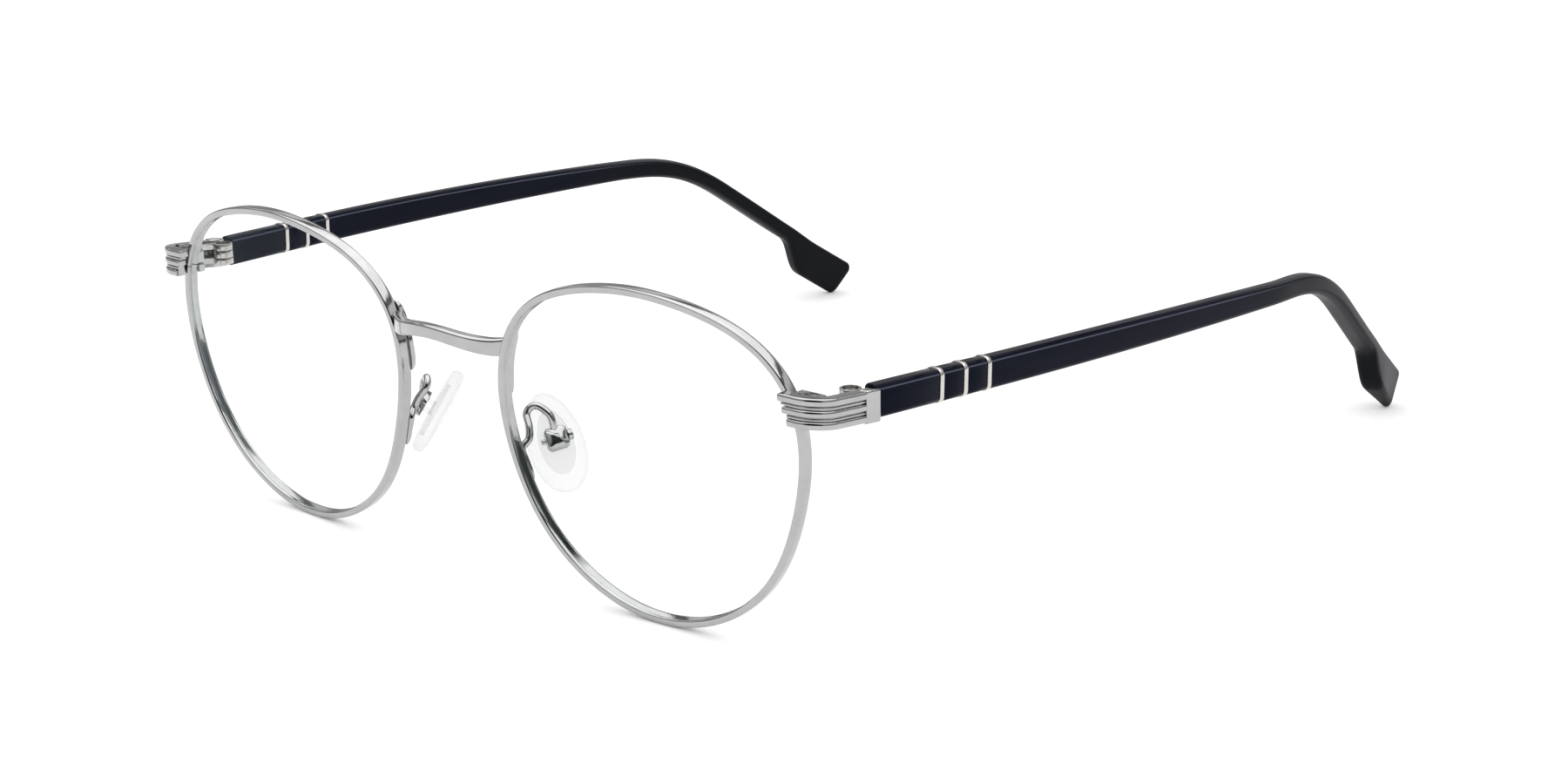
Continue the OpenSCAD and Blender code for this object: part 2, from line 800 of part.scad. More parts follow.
temple_block(left, 1);  // temple_block_rear_left
temple_block(right, 1);  // temple_block_rear_right
band(left, 0);  // band_front_left
band(right, 0);  // band_front_right
band(left, 1);  // band_middle_left
band(right, 1);  // band_middle_right
band(left, 2);  // band_rear_left
band(right, 2);  // band_rear_right
temple_arm(left);  // temple_arm_left
temple_arm(right);  // temple_arm_right
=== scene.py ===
import math

import bmesh
import bpy
from mathutils import Euler, Matrix, Vector


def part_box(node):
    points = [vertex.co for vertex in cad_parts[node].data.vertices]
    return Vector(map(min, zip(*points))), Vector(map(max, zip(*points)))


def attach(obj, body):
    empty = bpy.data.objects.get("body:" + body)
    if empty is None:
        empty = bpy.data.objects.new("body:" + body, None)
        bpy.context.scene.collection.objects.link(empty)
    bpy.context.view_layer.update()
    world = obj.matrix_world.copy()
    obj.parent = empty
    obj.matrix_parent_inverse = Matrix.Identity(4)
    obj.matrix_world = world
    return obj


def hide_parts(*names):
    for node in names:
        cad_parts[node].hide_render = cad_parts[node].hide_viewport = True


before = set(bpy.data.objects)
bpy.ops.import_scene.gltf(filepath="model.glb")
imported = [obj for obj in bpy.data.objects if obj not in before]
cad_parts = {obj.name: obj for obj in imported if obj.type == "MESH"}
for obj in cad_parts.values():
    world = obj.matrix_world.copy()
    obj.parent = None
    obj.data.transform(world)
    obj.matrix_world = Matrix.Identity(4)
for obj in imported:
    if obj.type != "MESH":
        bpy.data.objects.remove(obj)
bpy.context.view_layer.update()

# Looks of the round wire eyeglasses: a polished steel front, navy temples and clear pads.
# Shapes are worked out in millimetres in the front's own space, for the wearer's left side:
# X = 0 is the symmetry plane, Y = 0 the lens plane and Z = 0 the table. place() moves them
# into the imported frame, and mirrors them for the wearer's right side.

MM = 0.001
LEFT, RIGHT = 1, -1
SIDES = {"left": LEFT, "right": RIGHT}


def middle(node):
    """Centre of a CAD node's box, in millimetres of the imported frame."""
    low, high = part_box(node)
    return (low + high) / 2 / MM


# The hinge screw ties the front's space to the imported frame.
HINGE_X = middle("hinge_screw_left").x
HINGE_Y = 11.7
HINGE_Z = middle("hinge_screw_left").z
LENS_PLANE = middle("hinge_screw_left").y - HINGE_Y


# ---- numbers and vectors -----------------------------------------------------------------

def cosd(a):
    return math.cos(math.radians(a))


def sind(a):
    return math.sin(math.radians(a))


def ramp(x):
    t = min(1.0, max(0.0, x))
    return t * t * (3 - 2 * t)


def steps(low, high, count):
    """count + 1 evenly spaced numbers from low to high."""
    return [low + (high - low) * i / count for i in range(count + 1)]


def tangents(path):
    last = len(path) - 1
    return [(path[min(last, i + 1)] - path[max(0, i - 1)]).normalized() for i in range(last + 1)]


def smooth_path(points, count):
    """A curve through points, with count steps between each pair."""
    out = []
    last = len(points) - 1
    for i in range(last):
        a, b = points[max(0, i - 1)], points[i]
        c, d = points[i + 1], points[min(last, i + 2)]
        for k in range(count):
            t = k / count
            out.append(0.5 * (2 * b + (c - a) * t + (2 * a - 5 * b + 4 * c - d) * t * t
                              + (3 * b - a - 3 * c + d) * t ** 3))
    return out + [points[last]]


# ---- flat outlines, counter-clockwise lists of (x, y) --------------------------------------

def round_box(w, h, r, corner=7):
    """A rectangle with rounded corners."""
    out = []
    for quarter in range(4):
        sx = 1 if quarter in (0, 3) else -1
        sy = 1 if quarter < 2 else -1
        for a in steps(0, 90, corner):
            out.append((sx * (w / 2 - r) + r * cosd(90 * quarter + a),
                        sy * (h / 2 - r) + r * sind(90 * quarter + a)))
    return out


def inset(outline, d):
    """The outline moved inwards by d."""
    out = []
    n = len(outline)
    for i in range(n):
        before = Vector(outline[i]) - Vector(outline[i - 1])
        after = Vector(outline[(i + 1) % n]) - Vector(outline[i])
        a, b = before.normalized(), after.normalized()
        na, nb = Vector((-a.y, a.x)), Vector((-b.y, b.x))
        m = na + nb
        m = m / max(0.3, m.length_squared / 2)
        out.append((outline[i][0] + m.x * d, outline[i][1] + m.y * d))
    return out


# ---- solids, each a pair of a point list and a face list -----------------------------------

def loft(rings, closed=False):
    """A skin over equal rings, with flat ends unless it is closed."""
    n, m = len(rings[0]), len(rings)
    points = [Vector(p) for ring in rings for p in ring]
    faces = []
    for i in range(m if closed else m - 1):
        k = (i + 1) % m
        for j in range(n):
            j2 = (j + 1) % n
            faces.append((i * n + j, i * n + j2, k * n + j2, k * n + j))
    if not closed:
        faces.append(tuple(range(n - 1, -1, -1)))
        faces.append(tuple((m - 1) * n + j for j in range(n)))
    return points, faces


def prism(outline, low, high, edge=0.06):
    """An upright solid on an outline, with its edges rounded by edge."""
    rings = []
    for z, d in ((low, edge), (low + 0.3 * edge, 0.3 * edge), (low + edge, 0),
                 (high - edge, 0), (high - 0.3 * edge, 0.3 * edge), (high, edge)):
        flat = inset(outline, d) if d else outline
        rings.append([(x, y, z) for x, y in flat])
    return loft(rings)


def lathe(profile, count=64):
    """A solid turned about Z from (radius, height) pairs."""
    return loft([[(r * cosd(360 * i / count), r * sind(360 * i / count), z)
                  for i in range(count)] for r, z in profile])


def rod(r, low, high, edge=0.05, count=64):
    """A turned rod with rounded ends."""
    return lathe([(r - edge, low), (r - 0.3 * edge, low + 0.3 * edge), (r, low + edge),
                  (r, high - edge), (r - 0.3 * edge, high - 0.3 * edge), (r - edge, high)], count)


def moved(shape, matrix):
    return [matrix @ p for p in shape[0]], shape[1]


def shifted(shape, x, y, z):
    return moved(shape, Matrix.Translation((x, y, z)))


def joined(*shapes):
    points, faces = [], []
    for more_points, more_faces in shapes:
        base = len(points)
        points += more_points
        faces += [tuple(base + i for i in face) for face in more_faces]
    return points, faces


def place(p, side):
    """A point of the front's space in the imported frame, in metres."""
    return (side * p[0] * MM, (p[1] + LENS_PLANE) * MM, p[2] * MM)


def make(name, shape, side, material, sharp=32):
    """A mesh object from a solid. Edges sharper than sharp degrees stay crisp."""
    mesh = bpy.data.meshes.new(name)
    mesh.from_pydata([place(p, side) for p in shape[0]], [], shape[1])
    bm = bmesh.new()
    bm.from_mesh(mesh)
    bmesh.ops.recalc_face_normals(bm, faces=bm.faces)
    for face in bm.faces:
        face.smooth = True
    for edge in bm.edges:
        edge.smooth = len(edge.link_faces) == 2 and edge.calc_face_angle() < math.radians(sharp)
    bm.to_mesh(mesh)
    bm.free()
    mesh.materials.append(material)
    obj = bpy.data.objects.new(name, mesh)
    bpy.context.scene.collection.objects.link(obj)
    return obj


def carve(obj, shape, side):
    """Cuts a solid out of obj."""
    tool = make("cutting_tool", shape, side, obj.data.materials[0])
    cut = obj.modifiers.new("cut", "BOOLEAN")
    cut.operation = "DIFFERENCE"
    cut.solver = "EXACT"
    cut.object = tool
    bpy.context.view_layer.update()
    shown = obj.evaluated_get(bpy.context.evaluated_depsgraph_get())
    mesh = bpy.data.meshes.new_from_object(shown)
    obj.modifiers.remove(cut)
    obj.data = mesh
    bm = bmesh.new()
    bm.from_mesh(mesh)
    for edge in bm.edges:
        edge.smooth = len(edge.link_faces) == 2 and edge.calc_face_angle() < math.radians(32)
    bm.to_mesh(mesh)
    bm.free()
    bpy.data.objects.remove(tool)
    return obj


def finish_piece(obj, body, nodes):
    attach(obj, body)
    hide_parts(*nodes)
    return obj


# ---- materials ---------------------------------------------------------------------------

class Nodes:
    """A short way to write a node tree."""

    def __init__(self, tree):
        self.tree = tree
        tree.nodes.clear()

    def add(self, kind, inputs=None, **settings):
        node = self.tree.nodes.new(kind)
        for key, value in settings.items():
            setattr(node, key, value)
        for key, value in (inputs or {}).items():
            if isinstance(value, bpy.types.NodeSocket):
                self.tree.links.new(value, node.inputs[key])
            else:
                node.inputs[key].default_value = value
        return node

    def math(self, operation, a, b=0.0):
        return self.add("ShaderNodeMath", {0: a, 1: b}, operation=operation).outputs[0]

    def spread(self, value, low, high, to_low=0.0, to_high=1.0, kind="LINEAR"):
        """Maps the range low to high onto the range to_low to to_high."""
        return self.add("ShaderNodeMapRange", {
            "Value": value, "From Min": low, "From Max": high, "To Min": to_low,
            "To Max": to_high}, interpolation_type=kind).outputs[0]

    def mix(self, share, a, b, blend="MIX"):
        """Mixes two colours."""
        return self.add("ShaderNodeMix", {0: share, 6: a, 7: b}, data_type="RGBA",
                        blend_type=blend).outputs[2]

    def noise(self, where, scale, detail=3.0, roughness=0.5):
        return self.add("ShaderNodeTexNoise", {"Vector": where, "Scale": scale, "Detail": detail,
                                               "Roughness": roughness}).outputs["Fac"]

    def ramp(self, value, *stops):
        """A colour ramp from (position, colour or grey) stops."""
        node = self.add("ShaderNodeValToRGB", {"Fac": value})
        marks = node.color_ramp.elements
        while len(marks) < len(stops):
            marks.new(0.5)
        for mark, (at, colour) in zip(marks, stops):
            mark.position = at
            mark.color = (*colour, 1.0) if isinstance(colour, tuple) else (colour,) * 3 + (1.0,)
        return node.outputs["Color"]


def new_material(name):
    material = bpy.data.materials.new(name)
    material.use_nodes = True
    return material, Nodes(material.node_tree)


def metal(name, low, high, rough, speckle=0.0, grain=0.00002):
    """Plated steel: soft clouding in the plating, fine polishing marks and optional specks."""
    material, t = new_material(name)
    where = t.add("ShaderNodeTexCoord").outputs["Object"]
    clouds = t.noise(where, 420.0, 4.0)
    colour = t.ramp(clouds, (0.3, low), (0.7, high))
    if speckle:
        dots = t.add("ShaderNodeTexVoronoi", {"Vector": where, "Scale": 5200.0}).outputs["Distance"]
        spots = t.ramp(dots, (0.10, 1.0 - speckle), (0.2, 1.0))
        colour = t.mix(1.0, colour, spots, "MULTIPLY")
    marks = t.noise(where, 9000.0, 6.0, 0.65)
    roughness = t.spread(marks, 0.3, 0.7, 0.7 * rough, 1.4 * rough)
    bump = t.add("ShaderNodeBump", {"Height": t.noise(where, 2600.0, 3.0), "Strength": 0.25,
                                    "Distance": grain})
    shader = t.add("ShaderNodeBsdfPrincipled", {
        "Base Color": colour, "Metallic": 1.0, "Roughness": roughness,
        "Normal": bump.outputs["Normal"]})
    t.add("ShaderNodeOutputMaterial", {"Surface": shader.outputs["BSDF"]})
    return material


# Stretches of the temples, in metres of the imported frame's Y: the change from navy polish to a
# dark, rougher finish, the one where painted grey light comes onto the outer face, and the one
# where the painted grey light of the lower faces fades to the tip's black lower edge.
HOOK_FROM, HOOK_TO = 0.010, 0.040
PAINTED_FACE_FROM, PAINTED_FACE_TO = 0.030, 0.052
TIP_FROM, TIP_TO = 0.056, 0.066
# A face counts as an outer one, and gets the painted grey light, when its sideways normal times its
# place in X reaches this.
OUTWARD_FULL = 0.03
BLACK = (0.0, 0.0, 0.0, 1.0)
DARK_SATIN = (0.006, 0.0065, 0.008)


def acetate(name):
    """Navy acetate: faint streaks, a painted highlight along the top edges, and a darker, rougher
    tip with painted grey light on some of its faces.
    """
    material, t = new_material(name)
    where = t.add("ShaderNodeTexCoord").outputs["Object"]
    spot = t.add("ShaderNodeSeparateXYZ", {"Vector": where})
    along = spot.outputs["Y"]
    normal = t.add("ShaderNodeNewGeometry").outputs["Normal"]
    facing = t.add("ShaderNodeSeparateXYZ", {"Vector": normal})
    height = t.spread(facing.outputs["Z"], -1.0, 1.0)
    outward = t.math("MULTIPLY", facing.outputs["X"], spot.outputs["X"])
    painted_side_mask = t.spread(outward, 0.0, OUTWARD_FULL)

    stretched = t.add("ShaderNodeMapping", {"Vector": where, "Scale": (1.0, 0.06, 1.0)})
    streaks = t.noise(stretched.outputs["Vector"], 900.0, 5.0)
    navy = t.ramp(streaks, (0.25, (0.0022, 0.0031, 0.0080)), (0.75, (0.0040, 0.0052, 0.0125)))
    # Painted highlight: a thin light line on the roundings between the top and the sides, and a
    # faint painted sheen on the top face.
    edge = t.ramp(height, (0.60, 0.0), (0.64, (0.060, 0.064, 0.085)),
                  (0.71, (0.050, 0.053, 0.070)), (0.76, 0.0), (0.95, 0.0),
                  (1.0, (0.022, 0.021, 0.021)))
    # The shaft's colour: navy with the painted highlight added.
    shaft = t.mix(1.0, navy, edge, "ADD")

    # Painted light on the hook: grey on the faces turned downwards, fading to black towards the
    # tip's lower edge.
    tip = t.spread(along, TIP_FROM, TIP_TO, kind="SMOOTHSTEP")
    painted_underside = t.ramp(height, (0.08, (0.034, 0.034, 0.037)), (0.22, (0.026, 0.026, 0.029)),
                   (0.32, DARK_SATIN))
    painted_underside = t.mix(tip, painted_underside, (*DARK_SATIN, 1.0))
    # Painted grey light on the hook's outer faces, growing in along the temple.
    painted_face_share = t.spread(along, PAINTED_FACE_FROM, PAINTED_FACE_TO, kind="SMOOTHSTEP")
    face = t.ramp(height, (0.40, 0.0), (0.48, (0.028, 0.028, 0.032)),
                  (0.80, (0.030, 0.030, 0.034)))
    face = t.mix(t.math("MULTIPLY", painted_side_mask, painted_face_share), BLACK, face)
    # Painted sheen on the hook's faces turned upwards.
    back = t.ramp(height, (0.78, 0.0), (0.88, (0.040, 0.040, 0.044)))
    # The hook's colour: the dark base with the painted light of its lower, outer and top faces
    # added.
    hook = t.mix(1.0, t.mix(1.0, painted_underside, face, "ADD"), back, "ADD")

    rear = t.spread(along, HOOK_FROM, HOOK_TO, kind="SMOOTHSTEP")
    polish = t.spread(t.noise(where, 3500.0, 5.0, 0.6), 0.3, 0.7, 0.09, 0.16)
    roughness = t.add("ShaderNodeMath", {0: rear, 1: 0.25, 2: polish},
                      operation="MULTIPLY_ADD").outputs[0]
    bump = t.add("ShaderNodeBump", {"Height": t.noise(where, 700.0, 2.0), "Strength": 0.15,
                                    "Distance": 0.00002})
    shader = t.add("ShaderNodeBsdfPrincipled", {
        "Base Color": t.mix(rear, shaft, hook), "Roughness": roughness,
        "Specular IOR Level": 0.04, "Normal": bump.outputs["Normal"]})
    t.add("ShaderNodeOutputMaterial", {"Surface": shader.outputs["BSDF"]})
    return material


def clear_lens(name):
    """A coated lens without power: what is behind it shows straight through."""
    material, t = new_material(name)
    where = t.add("ShaderNodeTexCoord").outputs["Object"]
    coating = t.ramp(t.noise(where, 60.0, 2.0), (0.3, (0.80, 0.95, 0.88)),
                     (0.7, (0.82, 0.88, 0.98)))
    mirror = t.add("ShaderNodeBsdfGlossy", {"Color": coating, "Roughness": 0.02})
    through = t.add("ShaderNodeBsdfTransparent", {"Color": (0.995, 0.998, 0.996, 1.0)})
    inside = t.add("ShaderNodeNewGeometry").outputs["Backfacing"]
    share = t.math("MULTIPLY", t.add("ShaderNodeFresnel", {"IOR": 1.12}).outputs[0],
                   t.math("SUBTRACT", 1.0, inside))
    mix = t.add("ShaderNodeMixShader", {0: share, 1: through.outputs[0],
                                        2: mirror.outputs[0]})
    t.add("ShaderNodeOutputMaterial", {"Surface": mix.outputs[0]})
    return material


def silicone(name, tint, milky):
    """Clear soft plastic: see-through when faced squarely, and milky towards its outline."""
    material, t = new_material(name)
    where = t.add("ShaderNodeTexCoord").outputs["Object"]
    cloud = t.noise(where, 500.0, 3.0)
    colour = t.ramp(cloud, (0.3, 0.66), (0.7, 0.72))
    roughness = t.spread(t.noise(where, 2500.0, 4.0), 0.3, 0.7, 0.12, 0.2)
    shader = t.add("ShaderNodeBsdfPrincipled", {
        "Base Color": colour, "Roughness": roughness, "Specular IOR Level": 0.3})
    through = t.add("ShaderNodeBsdfTransparent", {"Color": (tint, tint, tint, 1.0)})
    slanting = t.add("ShaderNodeLayerWeight", {"Blend": 0.25}).outputs["Facing"]
    share = t.spread(slanting, 0.0, 1.0, milky, 0.55)
    mix = t.add("ShaderNodeMixShader", {0: share, 1: through.outputs[0],
                                        2: shader.outputs["BSDF"]})
    t.add("ShaderNodeOutputMaterial", {"Surface": mix.outputs[0]})
    return material


STEEL = metal("polished_steel", (0.385, 0.385, 0.385), (0.425, 0.425, 0.425), 0.07)
HINGE_STEEL = metal("hinge_steel", (0.42, 0.41, 0.40), (0.48, 0.465, 0.45), 0.16, speckle=0.35)
BAND_STEEL = metal("band_steel", (0.52, 0.50, 0.48), (0.60, 0.575, 0.555), 0.14)
SCREW_STEEL = metal("screw_steel", (0.36, 0.36, 0.36), (0.46, 0.46, 0.46), 0.14, grain=0.00004)
NAVY = acetate("navy_acetate")
LENS = clear_lens("coated_lens")
SILICONE = silicone("clear_silicone", 0.90, 0.06)
INSERT = silicone("pad_insert", 0.96, 0.06)


# ---- lens outline and the curved, leaning surface that carries it --------------------------

LENS_SPACING = 70.0
# The outline's own centre is a little above the middle of the lens's box.
LENS_RISE = 0.65
LENS_HEIGHT = middle("lens_left").z + LENS_RISE
FRONT_LEAN = 4.9
FACE_WRAP = 3.4
BASE_CURVE = 95.0
RIM_OUT = 0.525
RIM_HALF = 0.88
GROOVE = 0.42
LIP = 0.46
SPLIT_ANGLE = 22.0


def lens_radius(a):
    return (23.84 + 1.18 * cosd(2 * a) + 1.05 * sind(3 * a) - 0.28 * cosd(4 * a)
            + 0.17 * sind(5 * a) - 0.13 * cosd(6 * a))


def outline(a):
    return Vector((lens_radius(a) * cosd(a), lens_radius(a) * sind(a)))


def outline_normal(a):
    t = (outline(a + 0.5) - outline(a - 0.5)).normalized()
    return Vector((t.y, -t.x))


def on_front(u, w, d):
    """From lens coordinates (across, up, back from the lens surface) to the front's space."""
    s = (u * u + w * w) / (2 * BASE_CURVE) + d
    x = LENS_SPACING / 2 + u * cosd(FACE_WRAP) - s * sind(FACE_WRAP)
    y = u * sind(FACE_WRAP) + s * cosd(FACE_WRAP)
    return Vector((x, y * cosd(FRONT_LEAN) - w * sind(FRONT_LEAN),
                   y * sind(FRONT_LEAN) + w * cosd(FRONT_LEAN) + LENS_HEIGHT))


def beside_rim(a, out, back):
    """A point beside the rim's centre line: out from the lens, and back."""
    p = outline(a)
    q = p + outline_normal(a) * out
    s = p.length_squared / (2 * BASE_CURVE)
    return on_front(q.x, q.y, s + back - q.length_squared / (2 * BASE_CURVE))


# ---- rims and lenses -----------------------------------------------------------------------

def arc(cx, cy, rx, ry, start, end, count):
    return [(cx + rx * cosd(a), cy + ry * sind(a)) for a in steps(start, end, count)]


def rim_section():
    """Eye wire: crowned front and outer faces, rounded edges, and the lens groove inside."""
    edge, front_edge, back_edge = 0.26, 0.28, 0.16
    crown = 0.035
    out, half = RIM_OUT, RIM_HALF
    outer = [(out - crown * (y / half) ** 2, y) for y in steps(-half + edge, half - edge, 8)]
    return (arc(out - edge - crown, -half + edge, edge, edge, -80, -10, 5) + outer[1:-1]
            + arc(out - edge - crown, half - edge, edge, edge, 10, 80, 5)
            + arc(-out + back_edge, half - back_edge, back_edge, back_edge, 100, 170, 3)
            + [(-out, LIP + 0.04), (-out + 0.04, LIP), (-out + GROOVE, 0.03),
               (-out + GROOVE, -0.03), (-out + 0.04, -LIP), (-out, -LIP - 0.04)]
            + arc(-out + front_edge, -half + front_edge, front_edge, front_edge, 190, 260, 6))


def rim(side):
    section = rim_section()
    return loft([[beside_rim(a, q[0], q[1]) for q in section]
                 for a in steps(SPLIT_ANGLE + 0.16, SPLIT_ANGLE + 359.84, 360)])


def lens_solid():
    """The lens: two parallel curved faces, and a pointed edge in the rim's groove."""
    half = 0.8
    sides = 180

    def ring(f, back, inside=RIM_OUT + 0.05):
        out = []
        for i in range(sides):
            a = 360 * i / sides
            if f == 1:
                out.append(beside_rim(a, -inside, back))
            else:
                q = (outline(a) - outline_normal(a) * inside) * f
                out.append(on_front(q.x, q.y, back))
        return out

    fractions = [0.004] + steps(0.1, 0.9, 8)
    front = [ring(f, -half) for f in fractions]
    rear = [ring(f, half) for f in reversed(fractions)]
    edge = [ring(1, -half + 0.02), ring(1, -LIP + 0.1), ring(1, -0.04, RIM_OUT - GROOVE + 0.05),
            ring(1, 0.04, RIM_OUT - GROOVE + 0.05), ring(1, LIP - 0.1), ring(1, half - 0.02)]
    return loft(front + edge + rear)


# ---- bridge --------------------------------------------------------------------------------

BRIDGE_END = 10.8
BRIDGE_FORWARD = 2.4
BRIDGE_HEIGHT = 35
BRIDGE_THICK = 1.6
BRIDGE_TALL = 1.9
BRIDGE_CORNER = 0.42


def bridge_solid():
    """The saddle bridge: a bar that runs back and down from its middle to both rims."""
    rings = []
    for x in steps(-BRIDGE_END, BRIDGE_END, 96):
        v = x / 10
        y = -BRIDGE_FORWARD + 3.57 * v * v
        z = BRIDGE_HEIGHT - 2.8 * v * v + 1.54 * v ** 4
        section = round_box(BRIDGE_THICK * math.hypot(1, 0.714 * v), BRIDGE_TALL + 0.5 * v * v,
                            BRIDGE_CORNER, 6)
        rings.append([Vector((x, y + q[0], z + q[1])) for q in section])
    return loft(rings)


def rim_strip(start, end, inner, outer, tall):
    """A strip brazed to the back of the rim between two angles, with rounded ends."""
    back = RIM_HALF - 0.05
    rings = []
    mid = (inner + outer) / 2
    count = 40
    for i in range(count + 1):
        a = start + (end - start) * i / count
        e = math.sqrt(max(0.02, 1 - abs(2 * i / count - 1) ** 8))
        half = (outer - inner) / 2 * e
        top = tall * e
        r = min(0.25, 0.8 * half)
        rings.append([beside_rim(a, mid + half, back)]
                     + [beside_rim(a, mid + half - r + r * cosd(b), back + top - r + r * sind(b))
                        for b in steps(0, 90, 4)]
                     + [beside_rim(a, mid - half + r - r * sind(b), back + top - r + r * cosd(b))
                        for b in steps(0, 90, 4)]
                     + [beside_rim(a, mid - half, back)])
    return loft(rings)


# ---- closing blocks ------------------------------------------------------------------------

BLOCK_SCREW = (60.5, 4.75)
BLOCK_REACH = 0.5
BLOCK_EDGE = 0.12
BLOCK_HALF_GAP = 0.04
SPLIT_Z = beside_rim(SPLIT_ANGLE, 0, 0).z
BLOCK_TOP = 35.75
BLOCK_BOTTOM = SPLIT_Z - 1.35
SLOT = 0.26
CLOSING_HEAD_R = 0.8
CLOSING_SHANK_R = 0.5
CLOSING_SEAT = BLOCK_TOP - 0.55


def block_plan(lens_back, forward):
    """Closing block from above. Its inner corner stays behind the lens, at lens_back, and the
    upper block reaches forward to the end piece's back."""
    return [(59.1, 3.4 - forward), (60.6, 3.3 - forward), (61.9, 4.6), (61.9, 5.9), (58.1, 5.9),
            (58.1, lens_back), (59.1, lens_back)]


def slotted_head(r, low, high, slot, edge=0.07):
    """A screw head: a disc with two D-shaped pads, and the slot between them."""
    floor = high - 0.45 * (high - low)
    start = math.degrees(math.asin(slot / 2 / r))
    pad = [(r * cosd(a), r * sind(a)) for a in steps(start, 180 - start, 24)]
    half = prism(pad, floor - 0.02, high, edge)
    return joined(rod(r, low, floor, 0.02), half, moved(half, Matrix.Rotation(math.pi, 4, "Z")))


# ---- end pieces ----------------------------------------------------------------------------

END_HALF_WIDTH = 64.3
END_CORNER = 4.2
END_FRONT = 1.42
END_WALL = 1.45
END_NOSE = 58.7
RIB_SLOPE = 5.6
RIB_PITCH = 1.48
RIB_MID_Y = 7.0
RIB_MID_Z = 33.67
COLLAR_START = 10.9
COLLAR_END = 13.55


def end_route(start_x, end_y):
    """The end piece's outer face seen from above, as (x, y, outward direction) stations."""
    corner_x, corner_y = END_HALF_WIDTH - END_CORNER, END_FRONT + END_CORNER
    out = [(x, END_FRONT, -90.0) for x in steps(start_x, corner_x, 10)[:-1]]
    out += [(corner_x + END_CORNER * cosd(a), corner_y + END_CORNER * sind(a), a)
            for a in steps(-90, 0, 36)]
    for y in steps(corner_y, end_y, 12)[1:]:
        side = END_HALF_WIDTH - 0.12 * (y - corner_y) / (COLLAR_START - corner_y)
        out.append((side, y, 0.0))
    return out


def end_ring(station, section):
    """The section set square to the end piece's face at one station of its route."""
    x, y, heading = station
    z = RIB_MID_Z - math.tan(math.radians(RIB_SLOPE)) * (y - RIB_MID_Y)
    return [Vector((x + q[0] * cosd(heading), y + q[0] * sind(heading), z + q[1]))
            for q in section]


def rounded_start(rings, amount):
    """Rings with the first few drawn in, so that the end is rounded off."""
    first = rings[0]
    centre = sum(first, Vector()) / len(first)
    step = (rings[1][0] - rings[0][0]).normalized()
    caps = []
    for turn in (90, 60, 30):
        shrink = 1 - amount * (1 - cosd(turn)) / 0.9
        caps.append([centre + (p - centre) * shrink - step * amount * sind(turn) for p in first])
    return caps + rings


def end_piece_solid():
    """A plate, three ribs and two beads, each ending at its own place, and a smooth collar."""
    slant = 0.49
    face = -0.42
    wall = -END_WALL - 0.15
    plate_half = 2.02
    bead_r, bead_sink = 0.15, -0.2
    plate = [(wall, -plate_half), (face, -plate_half), (face, plate_half), (wall, plate_half)]
    shapes = [loft([end_ring(s, plate) for s in end_route(END_NOSE + 0.35, COLLAR_END - 0.1)])]
    # Each strip: its height, its radius, its lift off the ribs' level, and its start's step.
    strips = [(-RIB_PITCH, 0.51, 0.0, -1.0), (0.0, 0.46, 0.0, 0.0), (RIB_PITCH, 0.51, 0.0, 1.0),
              (-RIB_PITCH / 2, bead_r, bead_sink, -0.85), (RIB_PITCH / 2, bead_r, bead_sink, 0.45)]
    for z, r, lift, step in strips:
        depth = min(r, 0.42)
        lobe = [(lift - depth + depth * math.sqrt(abs(cosd(a))), z + r * sind(a))
                for a in steps(-89.5, 89.5, 18)]
        section = [(wall, z - r)] + lobe + [(wall, z + r)]
        start = END_NOSE - slant * RIB_PITCH * step
        rings = [end_ring(s, section) for s in end_route(start, COLLAR_START + 0.1)]
        shapes.append(loft(rounded_start(rings, 0.14)))
    edge = 0.3
    collar = []
    middle_out = (0.05 - END_WALL) / 2
    for y, d in ((COLLAR_START, 0.1), (COLLAR_START + 0.06, 0.03), (COLLAR_START + 0.16, 0.0),
                 (COLLAR_END - 0.14, 0.0), (COLLAR_END - 0.05, 0.03), (COLLAR_END, 0.1)):
        section = [(middle_out + q[0], q[1])
                   for q in round_box(END_WALL + 0.05 - 2 * d, 4.3 - 2 * d, edge, 6)]
        collar.append(end_ring((END_HALF_WIDTH - 0.12, y, 0.0), section))
    shapes.append(loft(collar))
    return joined(*shapes)


# ---- hinges --------------------------------------------------------------------------------

BARREL_R = 1.42
MIDDLE_TALL = 1.1
OUTER_TALL = 0.95
BARREL_GAP = 0.05
STACK_HALF = MIDDLE_TALL / 2 + BARREL_GAP + OUTER_TALL
HINGE_SCREW_R = 0.6
HINGE_HEAD_R = 1.0
HINGE_HEAD_TALL = 0.45
HINGE_HEAD_HOLE = 0.26
TONGUE_RISE = 0.24
TONGUE_REACH = 2.2
TONGUE_IN = 5.0
LEAF_X = END_HALF_WIDTH - 0.1 - END_WALL + 0.12 - HINGE_X


def front_leaf(low):
    """One leaf of the front's half, with its barrel, seen from above."""
    plan = [(LEAF_X, -3.2), (LEAF_X, 0.5)]
    plan += [(BARREL_R * cosd(a), BARREL_R * sind(a)) for a in steps(20.6, 309.3, 60)]
    return prism(plan, low, low + OUTER_TALL, 0.07)


# ---- temples -------------------------------------------------------------------------------

TEMPLE_START = 13.75
TEMPLE_AT = Vector((62.55, TEMPLE_START, 33.27))
TEMPLE_THICK = 2.5
TEMPLE_TALL = 4.38
TEMPLE_ROUND = 0.85
TEMPLE_SPLAY = 5.5
TEMPLE_DROP = 1.6
BEND_START = 68.0
BEND_LENGTH = 25.6
BEND_TURN = 32.6
HOOK_LENGTH = 57.65
# The tip: it gets taller from PADDLE_START, and then thinner at its lower edge.
HOOK_TALL = 2.75
HOOK_THICK = 3.7
TIP_TALL = 6.47
PADDLE_START = 40.8
PADDLE_EASE = 7.5
PADDLE_THIN = 0.6
TIP_ROUND = 1.3
TIP_THIN_FROM = BEND_START + PADDLE_START + 6
